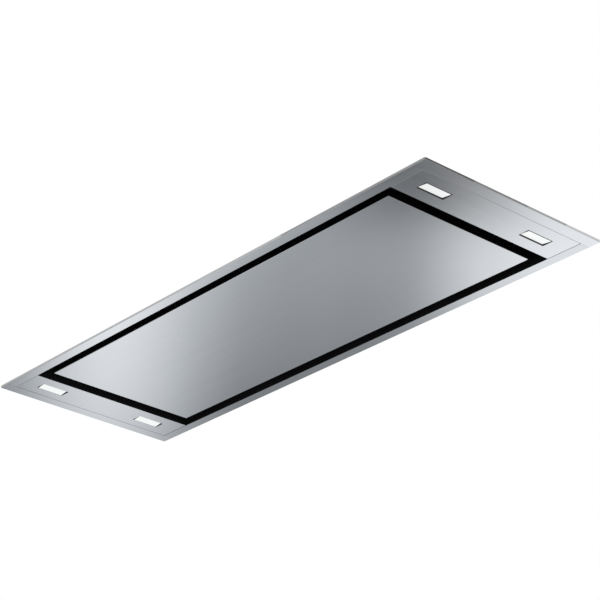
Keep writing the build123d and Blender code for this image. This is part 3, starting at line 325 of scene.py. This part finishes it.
def circuit_board(name):
    """Green solder mask with copper tracks under it."""
    m = Maker(name, (0.02, 0.16, 0.06), roughness=0.3)
    tracks = m.add("ShaderNodeTexBrick", Scale=60.0, Mortar_Size=0.035, Color1=(0.02, 0.16, 0.06, 1.0),
                   Color2=(0.016, 0.12, 0.05, 1.0), Mortar=(0.05, 0.30, 0.12, 1.0))
    m.link(m.object_coords(), tracks.inputs["Vector"])
    stain = m.spread(m.noise(20.0), 0.0, 0.25, 0.4, 0.7)
    m.colour(m.mix(stain, tracks.outputs["Color"], (0.01, 0.09, 0.04, 1.0)))
    m.bump(tracks.outputs["Fac"], strength=0.2, distance=0.0001)
    m.set("Coat Weight", 0.5)
    return m.mat


def lit_lens(name):
    """Clear lens over a lit diffuser: nearly even light."""
    m = Maker(name, (0.46, 0.46, 0.455), roughness=0.18)
    prisms = m.cells(420.0)
    clouds = m.noise(16.0, detail=2.0, roughness=0.5)
    light = m.ramp(clouds, (0.2, (0.86, 0.865, 0.86)), (0.8, (0.95, 0.95, 0.94)))
    m.link(light, m.bsdf.inputs["Emission Color"])
    m.set("Emission Strength", 0.56)
    m.colour(m.ramp(prisms, (0.0, (0.42, 0.42, 0.415)), (1.0, (0.50, 0.50, 0.495))))
    m.bump(prisms, strength=0.12, distance=0.0002)
    return m.mat


def ceramic_magnet(name):
    """Pressed and fired ferrite, dark and dull."""
    m = Maker(name, (0.045, 0.045, 0.05), metallic=0.25, roughness=0.55)
    grain = m.noise(500.0, detail=4.0, roughness=0.7)
    m.colour(m.ramp(grain, (NOISE_LOW, (0.03, 0.03, 0.033)), (NOISE_HIGH, (0.075, 0.075, 0.08))))
    m.rough(m.haze(grain, 0.1, 0.15))
    m.bump(grain, strength=0.3, distance=0.0002)
    return m.mat


# The front and rear rails are the frame's one brushed steel. Their base colours are painted lighter at the
# front and darker at the rear, as painted light and painted shade for how each rail tilts and takes the
# room's reflections.
steel_front_painted_lighter = brushed("brushed_steel_front_rail", "X", (0.73, 0.735, 0.74))
steel_rear_painted_darker = brushed("brushed_steel_rear_rail", "X", (0.64, 0.645, 0.65))
steel_y = brushed("brushed_steel_along_y", "Y")
steel_panel = brushed("brushed_steel_panel", "X")
zinc = galvanised("galvanised_sheet")
zinc_plate = galvanised("zinc_plated_press_part", (0.60, 0.605, 0.61), scale=150.0, roughness=0.33)
powder = powder_coat("black_powder_coat")
black = plastic("black_plastic", (0.012, 0.012, 0.013), 0.5)
clip_black = plastic("black_nylon", (0.018, 0.018, 0.02), 0.42)
latch_grey = plastic("latch_nylon", (0.045, 0.046, 0.05), 0.4)
cream = plastic("terminal_nylon", (0.72, 0.70, 0.62), 0.38)
white_case = plastic("white_case", (0.78, 0.78, 0.77), 0.42)
can = plastic("capacitor_can", (0.80, 0.80, 0.77), 0.3, coat=0.3)
rubber = plastic("bush_rubber", (0.015, 0.015, 0.015), 0.8, grain_scale=250.0, grain=0.4)
pins = bright_metal("bright_zinc_pins", (0.72, 0.73, 0.74), 0.18)
black_pins = bright_metal("blackened_steel_pins", (0.035, 0.035, 0.038), 0.38)
aluminium = satin_aluminium("filter_sheet")
mesh_metal = expanded_metal("filter_pleats")
casting = cast_metal("motor_casting")
magnet = ceramic_magnet("ceramic_magnet")
board = circuit_board("circuit_board")
led_white = plastic("led_board", (0.85, 0.85, 0.83), 0.35, grain_scale=120.0)
lens = lit_lens("lit_lens")
iron = laminations("stator_laminations")

LOOKS = {
    # the front rail takes the steel with painted light, the rear rail the steel with painted shade
    steel_front_painted_lighter: ["frame_side_front"],
    steel_rear_painted_darker: ["frame_side_rear"],
    steel_y: ["frame_end_left", "frame_end_right", "lamp_plate_left", "lamp_plate_right"],
    steel_panel: ["panel_skin"],
    zinc: ["housing_shell", "housing_top", "volute_left", "volute_right", "outlet_transition",
           "outlet_collar", "panel_backing", "damper_flap_front", "damper_flap_rear", "impeller",
           "impeller_blades"],
    zinc_plate: ["hanger_straps", "motor_spider"],
    powder: ["intake_liner", "catch_brackets", "filter_deck", "hinge_arms", "catch_keepers"],
    black: ["control_box", "control_box_lid"] + [f"lamp_holder_{place}" for place in LAMPS],
    clip_black: ["capacitor_clip", "cable_gland"],
    latch_grey: [f"filter_latch_{place}" for place in FILTERS],
    cream: ["terminal_block"],
    white_case: ["led_driver"],
    can: ["run_capacitor"],
    rubber: ["motor_bushes"],
    pins: ["liner_screws", "flap_pin", "rotor"],
    black_pins: ["hinge_pins"],
    aluminium: [f"filter_frame_{place}" for place in FILTERS],
    mesh_metal: [f"filter_mesh_{place}" for place in FILTERS],
    casting: ["motor_cap_rear", "motor_cap_front"],
    magnet: ["catch_magnets"],
    board: ["control_board"],
    led_white: ["led_boards"],
    lens: [f"lamp_lens_{place}" for place in LAMPS],
    iron: ["motor_stator"],
}
for material, names in LOOKS.items():
    for name in names:
        for slot in NODES[name].material_slots:
            slot.material = material

# ---------------------------------------------------------------- mesh helpers


def add_object(bm, name, material):
    """A new object in the scene from a bmesh, with one material."""
    mesh = bpy.data.meshes.new(name)
    bm.to_mesh(mesh)
    bm.free()
    mesh.materials.append(material)
    piece = bpy.data.objects.new(name, mesh)
    scene.collection.objects.link(piece)
    return piece


def finish_piece(bm, name, material, body, smooth=False):
    """A new piece from a bmesh, riding on its body."""
    bmesh.ops.recalc_face_normals(bm, faces=bm.faces)
    for face in bm.faces:
        face.smooth = smooth
    piece = add_object(bm, name, material)
    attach(piece, body)


def lathe(bm, profile, matrix, segments=20):
    """Closed turned form: profile is (radius, height) from bottom centre to top centre, local +Z up."""
    rings = []
    for radius, height in profile:
        steps = segments if radius else 1
        turns = [2 * math.pi * k / segments for k in range(steps)]
        rings.append([
            bm.verts.new(matrix @ Vector((radius * math.cos(turn), radius * math.sin(turn), height)))
            for turn in turns
        ])
    for low, high in zip(rings, rings[1:]):
        for a in range(segments):
            b = (a + 1) % segments
            if len(low) == 1:
                bm.faces.new((low[0], high[b], high[a]))
            elif len(high) == 1:
                bm.faces.new((low[a], low[b], high[0]))
            else:
                bm.faces.new((low[a], low[b], high[b], high[a]))


def placed(x, y, z, normal):
    """A matrix at a point whose local +Z is the normal."""
    turn = Vector(normal).to_track_quat("Z", "Y").to_matrix().to_4x4()
    return Matrix.Translation((x, y, z)) @ turn


# ---------------------------------------------------------------- rivets on the housing

# a blind rivet's head, as (radius, height) from the middle of its foot to the middle of its dimple
RIVET = ((0.0, 0.0), (0.0033, 0.0), (0.0033, 0.0003), (0.0028, 0.0009), (0.0016, 0.0013), (0.0010, 0.0013),
         (0.0009, 0.0008), (0.0, 0.0008))
UPWARD = (0, 0, 1)
COLLAR_RIVETS = 8
COLLAR_RIVET_CIRCLE = 0.0845
COLLAR_FLANGE = 0.0015
STRAP_X = 0.530
STRAP_Y = 0.120
STRAP_SHEET = 0.0025
FOOT_FROM_STRAP = 0.0315
FOOT_RIVET_HALF = 0.007
SKIRT_RIVET_RISE = 0.006
LONG_SIDE_RIVETS = 7
LONG_SIDE_PITCH = 0.18
SHORT_SIDE_RIVETS = 3
SHORT_SIDE_PITCH = 0.13

top_low, top_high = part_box("housing_top")
skirt_z = top_low.z + SKIRT_RIVET_RISE
collar_low, collar_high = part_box("outlet_collar")
collar = (collar_low + collar_high) / 2


def in_a_row(count, pitch):
    """Places along a line, even on both sides of its middle."""
    return [(k - (count - 1) / 2) * pitch for k in range(count)]


rivets = bmesh.new()
for k in range(COLLAR_RIVETS):
    turn = 2 * math.pi * (k + 0.5) / COLLAR_RIVETS
    x = collar.x + COLLAR_RIVET_CIRCLE * math.cos(turn)
    y = collar.y + COLLAR_RIVET_CIRCLE * math.sin(turn)
    lathe(rivets, RIVET, placed(x, y, top_high.z + COLLAR_FLANGE, UPWARD))
for side_x, side_y in CORNERS:
    for foot in (-FOOT_FROM_STRAP, FOOT_FROM_STRAP):
        for across in (-FOOT_RIVET_HALF, FOOT_RIVET_HALF):
            x = side_x * STRAP_X + across
            y = side_y * STRAP_Y + foot
            lathe(rivets, RIVET, placed(x, y, top_high.z + STRAP_SHEET, UPWARD))
for side in (-1, 1):
    for x in in_a_row(LONG_SIDE_RIVETS, LONG_SIDE_PITCH):
        lathe(rivets, RIVET, placed(x, side * top_high.y, skirt_z, (0, side, 0)))
    for y in in_a_row(SHORT_SIDE_RIVETS, SHORT_SIDE_PITCH):
        lathe(rivets, RIVET, placed(side * top_high.x, y, skirt_z, (side, 0, 0)))
finish_piece(rivets, "housing_rivets", pins, "hood", smooth=True)

# ---------------------------------------------------------------- black bezels round the lamps' lenses

LENS_THICKNESS = 0.0025
LENS_TILT = math.atan(0.125)
# half width, half length, corner radius, height: outside in the plate's cut-out, inside at the tilted lens
PLATE_RINGS = ((0.01150, 0.0290, 0.0008, -0.0034), (0.01150, 0.0290, 0.0008, -0.0038),
               (0.01138, 0.0289, 0.0007, -0.00395))
LENS_RINGS = ((0.01037, 0.02632, 0.0007, 0.0001), (0.01037, 0.02632, 0.0007, 0.0007))


def rounded(half_x, half_y, radius, z, matrix, steps=5):
    """Points round a rectangle with rounded corners, in the matrix's XY plane."""
    points = []
    for corner, (side_x, side_y) in enumerate(((1, 1), (-1, 1), (-1, -1), (1, -1))):
        for k in range(steps + 1):
            turn = math.pi / 2 * (corner + k / steps)
            x = side_x * (half_x - radius) + radius * math.cos(turn)
            y = side_y * (half_y - radius) + radius * math.sin(turn)
            points.append(matrix @ Vector((x, y, z)))
    return points


def lamp_bezel(place):
    """A thin frame from the plate's cut-out up to the tilted lens."""
    low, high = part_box(f"lamp_lens_{place}")
    side = 1 if place.startswith("right") else -1
    upward = Vector((side * math.sin(LENS_TILT), 0.0, math.cos(LENS_TILT)))
    across = Vector((math.cos(LENS_TILT), 0.0, -side * math.sin(LENS_TILT)))
    face = (low + high) / 2 - LENS_THICKNESS / 2 * upward
    level = Matrix.Translation((face.x, face.y, 0.0))
    tilted = Matrix.Translation(face) @ Matrix((across, upward.cross(across), upward)).transposed().to_4x4()
    outlines = [rounded(*ring, level) for ring in PLATE_RINGS]
    outlines += [rounded(*ring, tilted) for ring in LENS_RINGS]
    bm = bmesh.new()
    rings = [[bm.verts.new(point) for point in outline] for outline in outlines]
    for first, second in zip(rings, rings[1:] + rings[:1]):
        for k in range(len(first)):
            j = (k + 1) % len(first)
            bm.faces.new((first[k], first[j], second[j], second[k]))
    finish_piece(bm, f"lamp_bezel_{place}", black, "hood")


for place in LAMPS:
    lamp_bezel(place)

# ---------------------------------------------------------------- expanded mesh on the filters' underside

LATTICE_BELOW_TOP = 0.00875
LATTICE_MARGIN = 0.0035
LATTICE_COUNT_X = 34
LATTICE_COUNT_Y = 52
STRAND_HALF_WIDTH = 0.00055
STRAND_HALF_HEIGHT = 0.00022
STRAND_TWIST = 0.00008


def strand(bm, a, b):
    """One strand of the mesh from a to b, twisted a little as the cut sheet is."""
    along = (b - a).normalized()
    side = Vector((-along.y, along.x, 0.0)) * STRAND_HALF_WIDTH
    top = Vector((0.0, 0.0, STRAND_HALF_HEIGHT))
    twist = Vector((0.0, 0.0, STRAND_TWIST))
    at_a = (a - side - top - twist, a + side - top, a + side + top, a - side + top)
    at_b = (b - side - top, b + side - top - twist, b + side + top, b - side + top)
    start = [bm.verts.new(point) for point in at_a]
    end = [bm.verts.new(point) for point in at_b]
    for k in range(4):
        j = (k + 1) % 4
        bm.faces.new((start[k], start[j], end[j], end[k]))
    bm.faces.new(start[::-1])
    bm.faces.new(end)


def lattice(place):
    """Expanded aluminium sheet: strands in diamonds, clamped in the filter frame's channel."""
    low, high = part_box(f"filter_frame_{place}")
    z = high.z - LATTICE_BELOW_TOP
    step_x = (high.x - low.x - 2 * LATTICE_MARGIN) / LATTICE_COUNT_X
    step_y = (high.y - low.y - 2 * LATTICE_MARGIN) / LATTICE_COUNT_Y
    bm = bmesh.new()
    for i in range(LATTICE_COUNT_X):
        for j in range(LATTICE_COUNT_Y):
            x = low.x + LATTICE_MARGIN + i * step_x
            y = low.y + LATTICE_MARGIN + j * step_y
            rise = (i + j) % 2
            strand(bm, Vector((x, y + rise * step_y, z)), Vector((x + step_x, y + (1 - rise) * step_y, z)))
    finish_piece(bm, f"filter_lattice_{place}", aluminium, "hood")


for place in FILTERS:
    lattice(place)

# ---------------------------------------------------------------- stage: the ceiling, seen from both sides

CEILING_REACH = 12.0
UNDERSIDE_Z = 0.0003
TOP_Z = 0.0020
HOLE_HALF_X = 0.585
HOLE_HALF_Y = 0.185


def ceiling_sheet(name, z, material, face_down):
    """A large plain sheet with the hood's cut-out."""
    bm = bmesh.new()
    outer = [bm.verts.new((x * CEILING_REACH, y * CEILING_REACH, z)) for x, y in CORNERS]
    inner = [bm.verts.new((x * HOLE_HALF_X, y * HOLE_HALF_Y, z)) for x, y in CORNERS]
    for k in range(4):
        j = (k + 1) % 4
        face = bm.faces.new((outer[k], outer[j], inner[j], inner[k]))
        if face_down:
            face.normal_flip()
    piece = add_object(bm, name, material)


def white_backdrop(name):
    """Plain white light for the camera, reflections and glass; white paint for all other rays."""
    m = Maker(name, (0.85, 0.85, 0.85), roughness=0.9)
    rays = m.add("ShaderNodeLightPath").outputs
    seen = m.math("MAXIMUM", rays["Is Camera Ray"], rays["Is Glossy Ray"])
    seen = m.math("MAXIMUM", seen, rays["Is Transmission Ray"])
    mix = m.add("ShaderNodeMixShader")
    m.link(seen, mix.inputs["Fac"])
    m.link(m.bsdf.outputs["BSDF"], mix.inputs[1])
    m.link(m.add("ShaderNodeEmission", Strength=1.0).outputs["Emission"], mix.inputs[2])
    m.link(mix.outputs["Shader"], m.output)
    return m.mat


ceiling_white = white_backdrop("ceiling_white")
board_back = Maker("board_back", (0.82, 0.82, 0.82), roughness=0.85).mat
ceiling_sheet("ceiling_underside", UNDERSIDE_Z, ceiling_white, face_down=True)
ceiling_sheet("ceiling_top", TOP_Z, board_back, face_down=False)

# ---------------------------------------------------------------- stage: what the steel reflects


def only_in_reflections(name, points, origin, material):
    """A flat sheet that the metal reflects; the camera and the shadows leave it out."""
    bm = bmesh.new()
    bm.faces.new([bm.verts.new(point) for point in points])
    piece = add_object(bm, name, material)
    piece.location = origin
    piece.visible_camera = False
    piece.visible_diffuse = False
    piece.visible_shadow = False


# The fan is a level sheet that starts below the hood and runs on beyond it, away from the camera. Its
# light changes with the bearing, in degrees round a point over the camera, and with the distance, from
# near values to far ones.
FAN_ORIGIN = (2.517, -2.0314, -0.42)
FAN_FROM = 3.15
FAN_TO = 8.0
FAN_STEPS = 10
FAN_BLEND = (3.45, 4.95)
FAN_DIMMING = (4.45, 5.25)
FAN_DIMMED = 0.72
DARK_SPOT = (-2.460, 2.376, 0.0)
DARK_SPOT_RADIUS = 0.38
DARK_SPOT_LEVEL = 0.20
BRIGHTEST = 1.5
BEARINGS = (128.0, 130.5, 132.0, 133.5, 135.0, 136.5, 138.0, 139.5,
            141.0, 142.5, 144.0, 145.5, 147.0, 148.5, 150.0, 153.0)
FAN_NEAR = (1.00, 1.08, 1.10, 1.07, 0.98, 0.62, 0.51, 0.50, 0.51, 0.63, 0.85, 1.07, 1.10, 0.81, 0.36, 0.30)
FAN_FAR = (1.40, 1.40, 1.40, 0.90, 0.38, 0.22, 0.18, 0.22, 0.24, 0.30, 0.56, 0.86, 0.88, 0.57, 0.34, 0.30)


def cool_grey(value):
    """A grey that turns a little bluer as it darkens, as a share of the brightest light."""
    coolness = 0.03 * min(1.0, max(0.0, (1.0 - value) / 0.6))
    return (value * (0.972 - coolness) / BRIGHTEST, value / BRIGHTEST, value * (1.035 + coolness) / BRIGHTEST)


def fan_light(name):
    """Soft light and shade by bearing and by distance from the fan's origin."""
    m = Maker(name, (1.0, 1.0, 1.0))
    coords = m.object_coords()
    split = m.add("ShaderNodeSeparateXYZ")
    m.link(coords, split.inputs["Vector"])
    turn = m.math("ARCTAN2", split.outputs["Y"], split.outputs["X"])
    across = m.spread(turn, 0.0, 1.0, math.radians(BEARINGS[0]), math.radians(BEARINGS[-1]))
    span = BEARINGS[-1] - BEARINGS[0]
    near, far = (
        m.ramp(across, *(((bearing - BEARINGS[0]) / span, cool_grey(value))
                         for bearing, value in zip(BEARINGS, values)), interpolation="CARDINAL")
        for values in (FAN_NEAR, FAN_FAR)
    )
    reach = m.math("LENGTH", coords, kind=VECTOR)
    blend = m.spread(reach, 0.0, 1.0, *FAN_BLEND, interpolation="SMOOTHSTEP")
    dimming = m.spread(reach, 1.0, FAN_DIMMED, *FAN_DIMMING, interpolation="SMOOTHSTEP")
    from_spot = m.math("DISTANCE", coords, DARK_SPOT, kind=VECTOR)
    spot = m.spread(from_spot, DARK_SPOT_LEVEL, 1.0, 0.0, DARK_SPOT_RADIUS, interpolation="SMOOTHSTEP")
    level = m.math("MULTIPLY", m.math("MULTIPLY", spot, dimming), BRIGHTEST)
    m.glow(m.mix(blend, near, far), level)
    return m.mat


def flag_paint(name, value):
    """An even grey that the metal reflects."""
    m = Maker(name, (value, value, value))
    m.glow((value, value, value, 1.0))
    return m.mat


def fan_outline():
    """The fan's near arc and, back again, its far arc."""
    first = math.radians(BEARINGS[0])
    last = math.radians(BEARINGS[-1])
    bearings = [first + (last - first) * k / FAN_STEPS for k in range(FAN_STEPS + 1)]
    arcs = [(FAN_FROM, bearing) for bearing in bearings]
    arcs += [(FAN_TO, bearing) for bearing in reversed(bearings)]
    return [(reach * math.cos(bearing), reach * math.sin(bearing), 0.0) for reach, bearing in arcs]


only_in_reflections("fan_reflector", fan_outline(), FAN_ORIGIN, fan_light("fan_light"))

ROOM_Z = -0.46
CORNER_Z = 0.0001  # just under the ceiling
EDGE_X = 0.60
EDGE_Y = 0.20
STRIP_GAP = 0.0002
STRIP_REACH = 0.016
STRIP_X = (EDGE_X + STRIP_GAP, EDGE_X + STRIP_REACH)
STRIP_Y = (EDGE_Y + STRIP_GAP, EDGE_Y + STRIP_REACH)

# the darker room below, and the shade in the corner between the ceiling and the frame's outer edge
for name, x0, x1, y0, y1, z, value in (
    ("room_below", -7.0, 5.0, -7.0, 6.0, ROOM_Z, 0.34),
    ("edge_shade_right_a", *STRIP_X, -0.21, -0.09, CORNER_Z, 0.13),
    ("edge_shade_right_b", *STRIP_X, -0.09, 0.03, CORNER_Z, 0.30),
    ("edge_shade_right_c", *STRIP_X, 0.03, 0.12, CORNER_Z, 0.50),
    ("edge_shade_right_d", *STRIP_X, 0.12, 0.21, CORNER_Z, 0.80),
    ("edge_shade_left", -STRIP_X[1], -STRIP_X[0], -0.21, 0.21, CORNER_Z, 0.62),
    ("edge_shade_front_a", -EDGE_X, 0.25, -STRIP_Y[1], -STRIP_Y[0], CORNER_Z, 0.62),
    ("edge_shade_front_b", 0.25, EDGE_X, -STRIP_Y[1], -STRIP_Y[0], CORNER_Z, 0.40),
    ("edge_shade_rear", -EDGE_X, EDGE_X, *STRIP_Y, CORNER_Z, 0.62),
):
    corners = [(x0, y0, 0.0), (x0, y1, 0.0), (x1, y1, 0.0), (x1, y0, 0.0)]
    only_in_reflections(name, corners, (0.0, 0.0, z), flag_paint(f"{name}_grey", value))

# ---------------------------------------------------------------- light

HOUSING_MIDDLE = Vector((0.0, 0.0, 0.15))

world = bpy.data.worlds.new("studio")
scene.world = world
world.use_nodes = True
background = world.node_tree.nodes["Background"]
background.inputs["Color"].default_value = (0.97, 0.985, 1.0, 1.0)
background.inputs["Strength"].default_value = 0.85


def softbox(name, location, size, power, glossy):
    """A large soft lamp turned to the middle of the housing."""
    data = bpy.data.lights.new(name, "AREA")
    data.shape = "RECTANGLE"
    data.size, data.size_y = size
    data.energy = power
    lamp = bpy.data.objects.new(name, data)
    scene.collection.objects.link(lamp)
    lamp.location = location
    lamp.rotation_mode = "QUATERNION"
    lamp.rotation_quaternion = (HOUSING_MIDDLE - Vector(location)).to_track_quat("-Z", "Y")
    lamp.visible_glossy = glossy


softbox("key_above", (2.2, -2.6, 3.2), size=(2.4, 2.0), power=80.0, glossy=True)
softbox("fill_above", (-2.8, 2.0, 2.4), size=(2.6, 2.0), power=40.0, glossy=False)

scene.view_settings.view_transform = "Standard"
